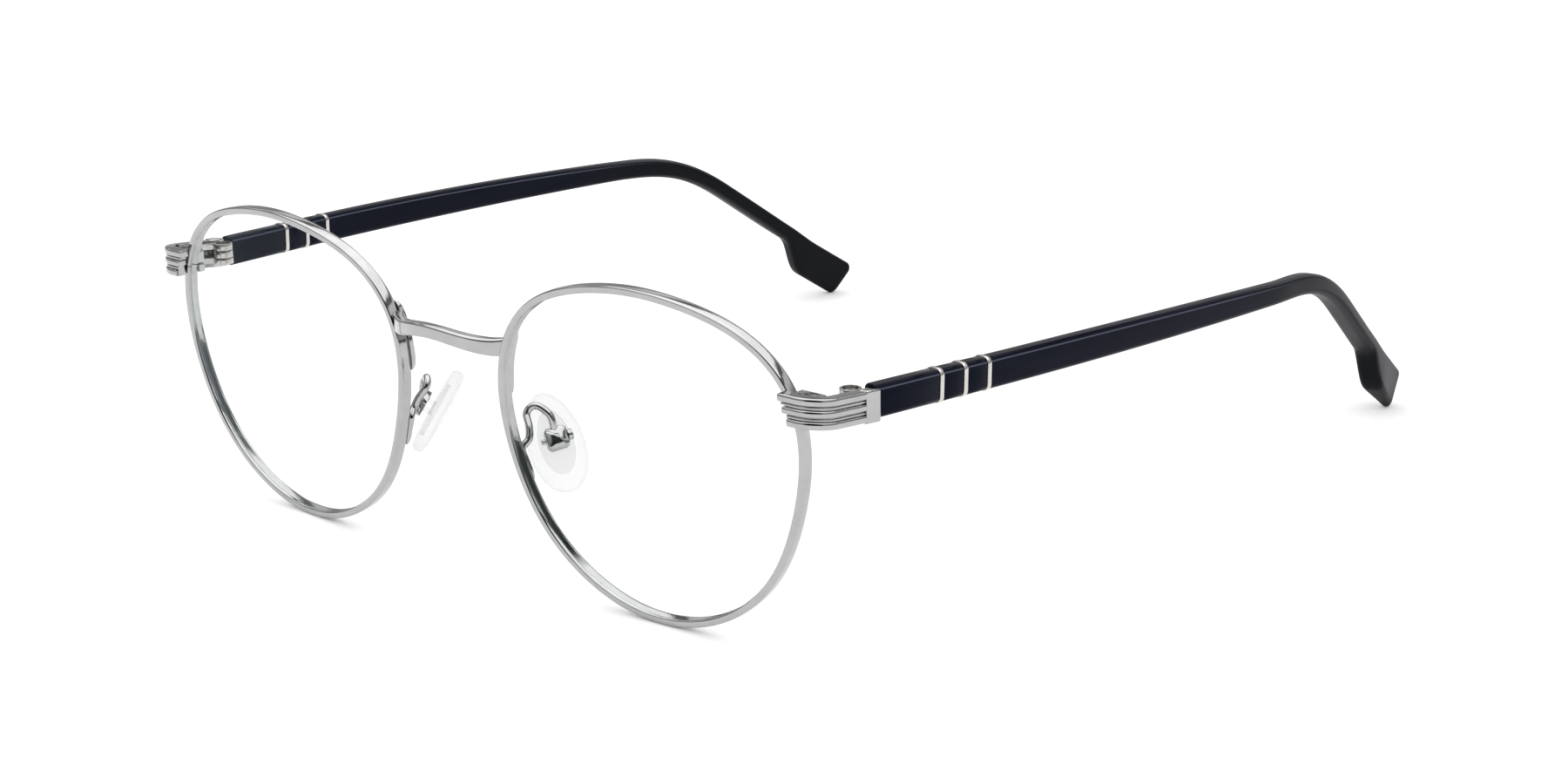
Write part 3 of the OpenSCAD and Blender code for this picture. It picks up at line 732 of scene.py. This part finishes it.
# The tip's twist in degrees, and how far the hook and the paddle lie below the centre line.
TWIST = 7.0
TWIST_FROM = BEND_START + 32.4
HOOK_SINK = -0.26
PADDLE_SINK = 2.19
BAND_WIDE = 0.7
BAND_PITCH = 4.37
BAND_FIRST = 10.9
BAND_PROUD = 0.12
ARM_FROM = BAND_FIRST + 2 * BAND_PITCH + BAND_WIDE
ALONG_TEMPLE = (Matrix.Translation(TEMPLE_AT)
                @ Euler([math.radians(-TEMPLE_DROP), 0, math.radians(-TEMPLE_SPLAY)]).to_matrix()
                .to_4x4())


def slice_solid(start, end, proud=0.0, edge=0.05):
    """A slice of the temple's straight front stretch, with lightly eased ends."""
    rings = []
    for y, d in ((start, edge), (start + 0.3 * edge, 0.3 * edge), (start + edge, 0),
                 (end - edge, 0), (end - 0.3 * edge, 0.3 * edge), (end, edge)):
        w, h = TEMPLE_THICK + 2 * (proud - d), TEMPLE_TALL + 2 * (proud - d)
        rings.append([Vector((q[0], y, q[1])) for q in round_box(w, h, TEMPLE_ROUND - d + proud)])
    return moved(loft(rings), ALONG_TEMPLE)


ARM_SPLAY = 0.083
ARM_BOW = 0.001624
ARM_DROP = 1.735
ARM_SAG = 0.0188
SETTLE = 8.0
TOE_IN = 0.1
TIP_LIFT = 2.5
ARM_LENGTH = BEND_START + HOOK_LENGTH
ARM_STEP = 0.5


def arm_heading(s):
    """Direction of the long arm at a distance behind its front end."""
    start = 1 - ramp(s / SETTLE)
    x = (ARM_SPLAY + (sind(TEMPLE_SPLAY) - ARM_SPLAY) * start
         - ARM_BOW * min(s, BEND_START + BEND_LENGTH) - TOE_IN * ramp((s - BEND_START + 4.7) / 8))
    down = (ARM_DROP + (TEMPLE_DROP - ARM_DROP) * start + ARM_SAG * min(s, BEND_START)
            + BEND_TURN * ramp((s - BEND_START) / BEND_LENGTH)
            - TIP_LIFT * ramp((s - BEND_START - 34) / 15))
    c = math.sqrt(1 - x * x)
    return Vector((x, c * cosd(down), -c * sind(down)))


def arm_line():
    """Centre line of the long arm, in small steps."""
    out = [ALONG_TEMPLE @ Vector((0, ARM_FROM, 0))]
    while len(out) * ARM_STEP < ARM_LENGTH + 2 * ARM_STEP:
        out.append(out[-1] + ARM_STEP * arm_heading(ARM_STEP * (len(out) - 0.5)))
    return out


def arm_solid():
    """The long arm: its shaft, the ear bend, and the tip with its paddle."""
    line = arm_line()
    stations = steps(0, BEND_START, 70)[:-1] + steps(BEND_START, ARM_LENGTH - TIP_ROUND, 120)[:-1]
    stations += [ARM_LENGTH - TIP_ROUND * (1 - sind(a)) for a in steps(0, 90, 14)]
    rings = []
    for s in stations:
        i = int(s / ARM_STEP)
        p = line[i].lerp(line[i + 1], s / ARM_STEP - i)
        bend = ramp((s - BEND_START) / BEND_LENGTH)
        paddle = ramp((s - BEND_START - PADDLE_START) / PADDLE_EASE)
        t = arm_heading(s)
        flat = t.cross(Vector((0, 0, 1))).normalized()
        up = flat.cross(t)
        twist = TWIST * ramp((s - TWIST_FROM) / 14)
        a = flat * cosd(twist) + up * sind(twist)
        b = up * cosd(twist) - flat * sind(twist)
        v = min(s, BEND_START)
        shaft = TEMPLE_TALL - 0.0045 * v - 0.00019 * v * v
        tall = shaft + (HOOK_TALL - shaft) * bend + (TIP_TALL - HOOK_TALL) * paddle
        past = max(0.0, s - (ARM_LENGTH - TIP_ROUND)) / TIP_ROUND
        e = math.sqrt(max(0.0, 1 - past * past))
        thick = TEMPLE_THICK + (HOOK_THICK - TEMPLE_THICK) * bend
        tall -= 2 * TIP_ROUND * (1 - e)
        section = round_box(thick - 1.9 * (1 - e), tall,
                            (TEMPLE_ROUND + 0.3 * bend) * (0.55 + 0.45 * e))
        centre = p - b * (PADDLE_SINK * paddle + HOOK_SINK * bend)
        thin = PADDLE_THIN * ramp((s - TIP_THIN_FROM) / 11)
        rings.append([centre + a * q[0] * (1 - thin * (0.5 + q[1] / tall)) - b * q[1]
                      for q in section])
    return loft(rings)


# ---- nose pads -----------------------------------------------------------------------------

PAD_AT = Vector((11.75, 8.7, 19.1))
PAD_TURN = Euler([math.radians(-30.7), math.radians(-11.4), math.radians(58.3)])
IN_PAD = Matrix.Translation(PAD_AT) @ PAD_TURN.to_matrix().to_4x4()
PAD_LONG = 14.2
PAD_WIDE = 7.8
PAD_THICK = 2.4
BOX_WIDE = 3.1
BOX_BACK = -3.4
BOX_DEEP = 1.7
PIVOT_Y = -2.35
PAD_SCREW_R = 0.35
PAD_HEAD_R = 0.72
PAD_SLOT = 0.2
PAD_WIRE_R = 0.52
SCREW_REACH = 2.2
ALONG_PIVOT = IN_PAD @ Matrix.Translation((0, PIVOT_Y, 0)) @ Matrix.Rotation(math.pi / 2, 4, "Y")


def pad_outline(long, wide, y, count=72):
    """An egg, narrower at its top."""
    return [Vector((wide / 2 * cosd(a) * (1 - 0.1 * sind(a)), y, long / 2 * sind(a)))
            for a in (360 * i / count for i in range(count))]


def cushion(long, wide, back, front, edge):
    """An egg-shaped pad with a domed face towards the nose and a rolled edge."""
    rings = []
    for f in (0.02, 0.3, 0.55, 0.75):
        rings.append(pad_outline(long * f, wide * f, back + 0.12 * (1 - f * f)))
    for a in steps(-90, 90, 12):
        d = edge * (1 - cosd(a))
        y = (back + front) / 2 - 0.1 + ((front - back) / 2 - 0.25) * sind(a)
        rings.append(pad_outline(long - 2 * d, wide - 2 * d, y))
    dome = rings[-1][0].y
    for f in (0.85, 0.7, 0.5, 0.3, 0.02):
        rings.append(pad_outline(long * f - 0.8 * edge * f, wide * f - 0.8 * edge * f,
                                 dome + (front - dome) * (1 - f * f)))
    return moved(loft(rings), IN_PAD)


def pad_box_solid():
    """A small cup with a pillowed back, open towards the pad."""
    inner = BOX_WIDE - 0.8
    opening = BOX_BACK + BOX_DEEP
    rings = []
    for wide, y in ((0.3, BOX_BACK + 0.45), (inner - 0.1, BOX_BACK + 0.45), (inner, opening - 0.1),
                    (inner, opening), (BOX_WIDE - 0.12, opening), (BOX_WIDE, opening - 0.06),
                    (BOX_WIDE, BOX_BACK + 0.72), (BOX_WIDE - 0.08, BOX_BACK + 0.6)):
        r = min(0.7, 0.42 * wide)
        rings.append([Vector((q[0], y, q[1])) for q in round_box(wide, wide, r, 6)])
    for f in (0.92, 0.84, 0.74, 0.62, 0.48, 0.34, 0.2, 0.08):
        r = 0.7 * f
        rings.append([Vector((q[0], BOX_BACK + 0.56 * f * f, q[1]))
                      for q in round_box(BOX_WIDE * f, BOX_WIDE * f, r, 6)])
    return moved(loft(rings), IN_PAD)


def pad_arm_solid():
    """The pad arm's wire, from its flattened foot behind the rim, over a loop, to the box."""
    foot = RIM_HALF + 0.27
    points = [beside_rim(201, 0.05, foot), beside_rim(197.5, 0.08, foot),
              beside_rim(194, 0.12, foot), beside_rim(190.5, 0.2, foot + 0.1)]
    points += [Vector(p) for p in (
        (11.35, 4.2, 20.6), (10.9, 4.75, 22), (9.95, 5.25, 23.4), (10.1, 5.8, 24.3),
        (10.95, 6.4, 24.55), (12.2, 7, 23.7), (12.7, 7.25, 22.8), (12.95, 7.35, 21.5))]
    count = 10
    path = smooth_path(points, count)
    rings = []
    for i, (p, t) in enumerate(zip(path, tangents(path))):
        a = t.cross(Vector((0, 1, 0.3))).normalized()
        b = a.cross(t)
        flat = 1 - ramp((i - 2 * count) / (2 * count))
        r = PAD_WIRE_R * (0.45 + 0.55 * ramp((3 * i / count + 1) / 4))
        rings.append([p + a * r * (1 + 0.35 * flat) * cosd(15 * k)
                      - b * r * (1 - 0.3 * flat) * sind(15 * k) for k in range(24)])
    return loft(rings)


# ---- the pieces ----------------------------------------------------------------------------

def build_side(word):
    """Every piece of one side: rim, lens, blocks, end piece, hinge, temple and nose pad."""
    side = SIDES[word]
    temple = f"{word}_temple"
    pad = f"{word}_pad"

    def add(name, shape, material, body, nodes, sharp=32):
        obj = make(f"{name}_{word}_look", shape, side, material, sharp)
        return finish_piece(obj, body, [f"{n}_{word}" for n in nodes])

    add("rim_wire", rim(side), STEEL, "front", ["rim"])
    add("lens", lens_solid(), LENS, "front", ["lens"])
    add("bridge_plate", rim_strip(151.5, 173.5, -0.42, 0.8, 0.8), STEEL, "front",
        ["bridge_plate"])

    upper_block = prism(block_plan(4.7, BLOCK_REACH), SPLIT_Z + BLOCK_HALF_GAP, BLOCK_TOP,
                        BLOCK_EDGE)
    upper = add("closing_upper", upper_block, STEEL, "front", ["closing_block_upper"])
    seat = rod(CLOSING_HEAD_R + 0.03, CLOSING_SEAT, BLOCK_TOP + 1)
    carve(upper, shifted(seat, *BLOCK_SCREW, 0), side)
    lower_block = prism(block_plan(5.0, 0), BLOCK_BOTTOM, SPLIT_Z - BLOCK_HALF_GAP, BLOCK_EDGE)
    add("closing_lower", lower_block, STEEL, "front", ["closing_block_lower"])
    screw = joined(slotted_head(CLOSING_HEAD_R, CLOSING_SEAT, BLOCK_TOP - 0.05, SLOT),
                   rod(CLOSING_SHANK_R, BLOCK_BOTTOM + 0.15, CLOSING_SEAT + 0.05))
    add("closing_screw", shifted(screw, *BLOCK_SCREW, 0), SCREW_STEEL, "front",
        ["closing_screw"])

    add("end_piece", end_piece_solid(), STEEL, "front", ["end_piece"], 38)
    to_hinge = Matrix.Translation((HINGE_X, HINGE_Y, HINGE_Z))
    leaves = joined(front_leaf(MIDDLE_TALL / 2 + BARREL_GAP), front_leaf(-STACK_HALF))
    front_half = add("front_hinge", moved(leaves, to_hinge), HINGE_STEEL, "front",
                     ["front_hinge"])
    head_from = STACK_HALF - HINGE_HEAD_TALL
    seat = rod(HINGE_HEAD_R + 0.03, head_from, STACK_HALF + 1)
    carve(front_half, moved(seat, to_hinge), side)
    pin = joined(slotted_head(HINGE_HEAD_R, head_from, STACK_HALF + 0.02, SLOT, 0.1),
                 rod(HINGE_SCREW_R, -STACK_HALF, head_from + 0.05))
    hinge_screw = add("hinge_screw", moved(pin, to_hinge), BAND_STEEL, "front",
                      ["hinge_screw"])
    hole = rod(HINGE_HEAD_HOLE, STACK_HALF - 0.35, STACK_HALF + 1)
    carve(hinge_screw, moved(hole, to_hinge), side)

    tongue_plan = [(0.05, -TONGUE_REACH), (0.05, TONGUE_IN), (-0.85, TONGUE_IN),
                   (-0.85, -TONGUE_REACH)]
    tongue = moved(prism(tongue_plan, TONGUE_RISE - 0.5, TONGUE_RISE + 0.5), ALONG_TEMPLE)
    barrel = moved(rod(BARREL_R, -MIDDLE_TALL / 2, MIDDLE_TALL / 2, 0.07), to_hinge)
    add("temple_hinge", joined(barrel, tongue), HINGE_STEEL, temple, ["temple_hinge"])
    blocks = {"front": (0.0, BAND_FIRST)}
    for count, where in enumerate(("middle", "rear")):
        start = BAND_FIRST + BAND_WIDE + count * BAND_PITCH
        blocks[where] = (start, start + BAND_PITCH - BAND_WIDE)
    for where, (start, end) in blocks.items():
        add(f"temple_block_{where}", slice_solid(start, end), NAVY, temple,
            [f"temple_block_{where}"])
    for count, where in enumerate(("front", "middle", "rear")):
        start = BAND_FIRST + count * BAND_PITCH
        add(f"band_{where}", slice_solid(start, start + BAND_WIDE, BAND_PROUD, 0.09), BAND_STEEL,
            temple, [f"band_{where}"])
    add("temple_arm", arm_solid(), NAVY, temple, ["temple_arm"])

    add("pad_arm", pad_arm_solid(), STEEL, "front", ["pad_arm"])
    add("pad_box", pad_box_solid(), STEEL, "front", ["pad_box"])
    head = shifted(slotted_head(PAD_HEAD_R, 0, SCREW_REACH - BOX_WIDE / 2, PAD_SLOT),
                   0, 0, BOX_WIDE / 2)
    shank = rod(PAD_SCREW_R, -SCREW_REACH, BOX_WIDE / 2, 0.08)
    add("pad_screw", moved(joined(head, shank), ALONG_PIVOT), SCREW_STEEL, "front",
        ["pad_screw"])
    back = -PAD_THICK / 2 + 0.3
    add("nose_pad", cushion(PAD_LONG, PAD_WIDE, back, back + PAD_THICK, 0.9), SILICONE, pad,
        ["nose_pad"])
    for node, material in (("pad_core", INSERT), ("temple_core", SCREW_STEEL)):
        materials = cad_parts[f"{node}_{word}"].data.materials
        materials.clear()
        materials.append(material)


for word in SIDES:
    build_side(word)
finish_piece(make("bridge_look", bridge_solid(), LEFT, STEEL), "front", ["bridge"])


# ---- floor, light and camera ---------------------------------------------------------------

def floor():
    """A pale table top, wide enough to fill every view."""
    size = 6.0
    cells = 24
    level = -0.00002
    points = [(size * (i / cells - 0.5), size * (j / cells - 0.5), level)
              for j in range(cells + 1) for i in range(cells + 1)]
    row = cells + 1
    faces = [(j * row + i, j * row + i + 1, (j + 1) * row + i + 1, (j + 1) * row + i)
             for j in range(cells) for i in range(cells)]
    mesh = bpy.data.meshes.new("table_top")
    mesh.from_pydata(points, [], faces)
    obj = bpy.data.objects.new("table_top", mesh)
    bpy.context.scene.collection.objects.link(obj)
    material, t = new_material("table_white")
    where = t.add("ShaderNodeTexCoord").outputs["Object"]
    colour = t.ramp(t.noise(where, 8.0, 3.0), (0.3, 0.935), (0.7, 0.95))
    shader = t.add("ShaderNodeBsdfPrincipled", {"Base Color": colour, "Roughness": 0.9,
                                                "Specular IOR Level": 0.0})
    t.add("ShaderNodeOutputMaterial", {"Surface": shader.outputs["BSDF"]})
    mesh.materials.append(material)


# The camera's angles are in degrees, and its place is in millimetres.
CAMERA_AZIMUTH = 41.312
CAMERA_ELEVATION = 16.544
CAMERA_ROLL = -0.748
CAMERA_LENS = 67.387
CAMERA_AT = Vector((282.884, -253.242 + LENS_PLANE, 137.31))


def camera_axes():
    back = Vector((sind(CAMERA_AZIMUTH) * cosd(CAMERA_ELEVATION),
                   -cosd(CAMERA_AZIMUTH) * cosd(CAMERA_ELEVATION), sind(CAMERA_ELEVATION)))
    right = Vector((cosd(CAMERA_AZIMUTH), sind(CAMERA_AZIMUTH), 0))
    up = back.cross(right)
    across = right * cosd(CAMERA_ROLL) + up * sind(CAMERA_ROLL)
    return across, back.cross(across), back


def camera():
    data = bpy.data.cameras.new("camera")
    data.sensor_width = 36.0
    data.lens = CAMERA_LENS
    data.clip_start = 0.01
    obj = bpy.data.objects.new("camera", data)
    across, up, back = camera_axes()
    turn = Matrix((across, up, back)).transposed()
    obj.matrix_world = Matrix.Translation(CAMERA_AT * MM) @ turn.to_4x4()
    bpy.context.scene.collection.objects.link(obj)
    bpy.context.scene.camera = obj


def studio():
    """A white tent. Mirrored rays also find its dark upper seam and the opening in front."""
    fill = 1.34
    gain = 2.0
    world = bpy.data.worlds.new("studio")
    bpy.context.scene.world = world
    world.use_nodes = True
    t = Nodes(world.node_tree)
    where = t.add("ShaderNodeTexCoord").outputs["Generated"]
    height = t.add("ShaderNodeSeparateXYZ", {"Vector": where}).outputs["Z"]
    walls = t.ramp(height, (0.0, 0.30), (0.12, 0.20), (0.36, 0.18), (0.46, 0.5), (0.54, 0.5),
                   (0.565, 0.085), (0.625, 0.10), (0.665, 0.95), (1.0, 1.0))
    facing = t.add("ShaderNodeVectorMath", {0: where, 1: camera_axes()[2]},
                   operation="DOT_PRODUCT").outputs["Value"]
    opening = t.ramp(facing, (0.80, 1.0), (0.89, 0.02))
    tent = t.mix(1.0, walls, opening, "MULTIPLY")
    tent = t.add("ShaderNodeVectorMath", {0: tent, "Scale": gain}, operation="SCALE").outputs[0]
    mirrored = t.add("ShaderNodeLightPath").outputs["Is Glossy Ray"]
    shown = t.mix(mirrored, (fill, fill, fill, 1.0), tent)
    back = t.add("ShaderNodeBackground", {"Color": shown, "Strength": 1.0})
    t.add("ShaderNodeOutputWorld", {"Surface": back.outputs[0]})


def softbox(name, at, aim, width, height, power):
    """A rectangular lamp."""
    data = bpy.data.lights.new(name, "AREA")
    data.shape = "RECTANGLE"
    data.size = width
    data.size_y = height
    data.energy = power
    obj = bpy.data.objects.new(name, data)
    obj.location = at
    direction = Vector(aim) - Vector(at)
    obj.rotation_euler = direction.to_track_quat("-Z", "Y").to_euler()
    bpy.context.scene.collection.objects.link(obj)


floor()
camera()
studio()
softbox("top_light", (-0.25, 0.1, 0.9), (0, 0, 0), 0.9, 0.7, 0.45)
bpy.context.scene.view_settings.view_transform = "Standard"
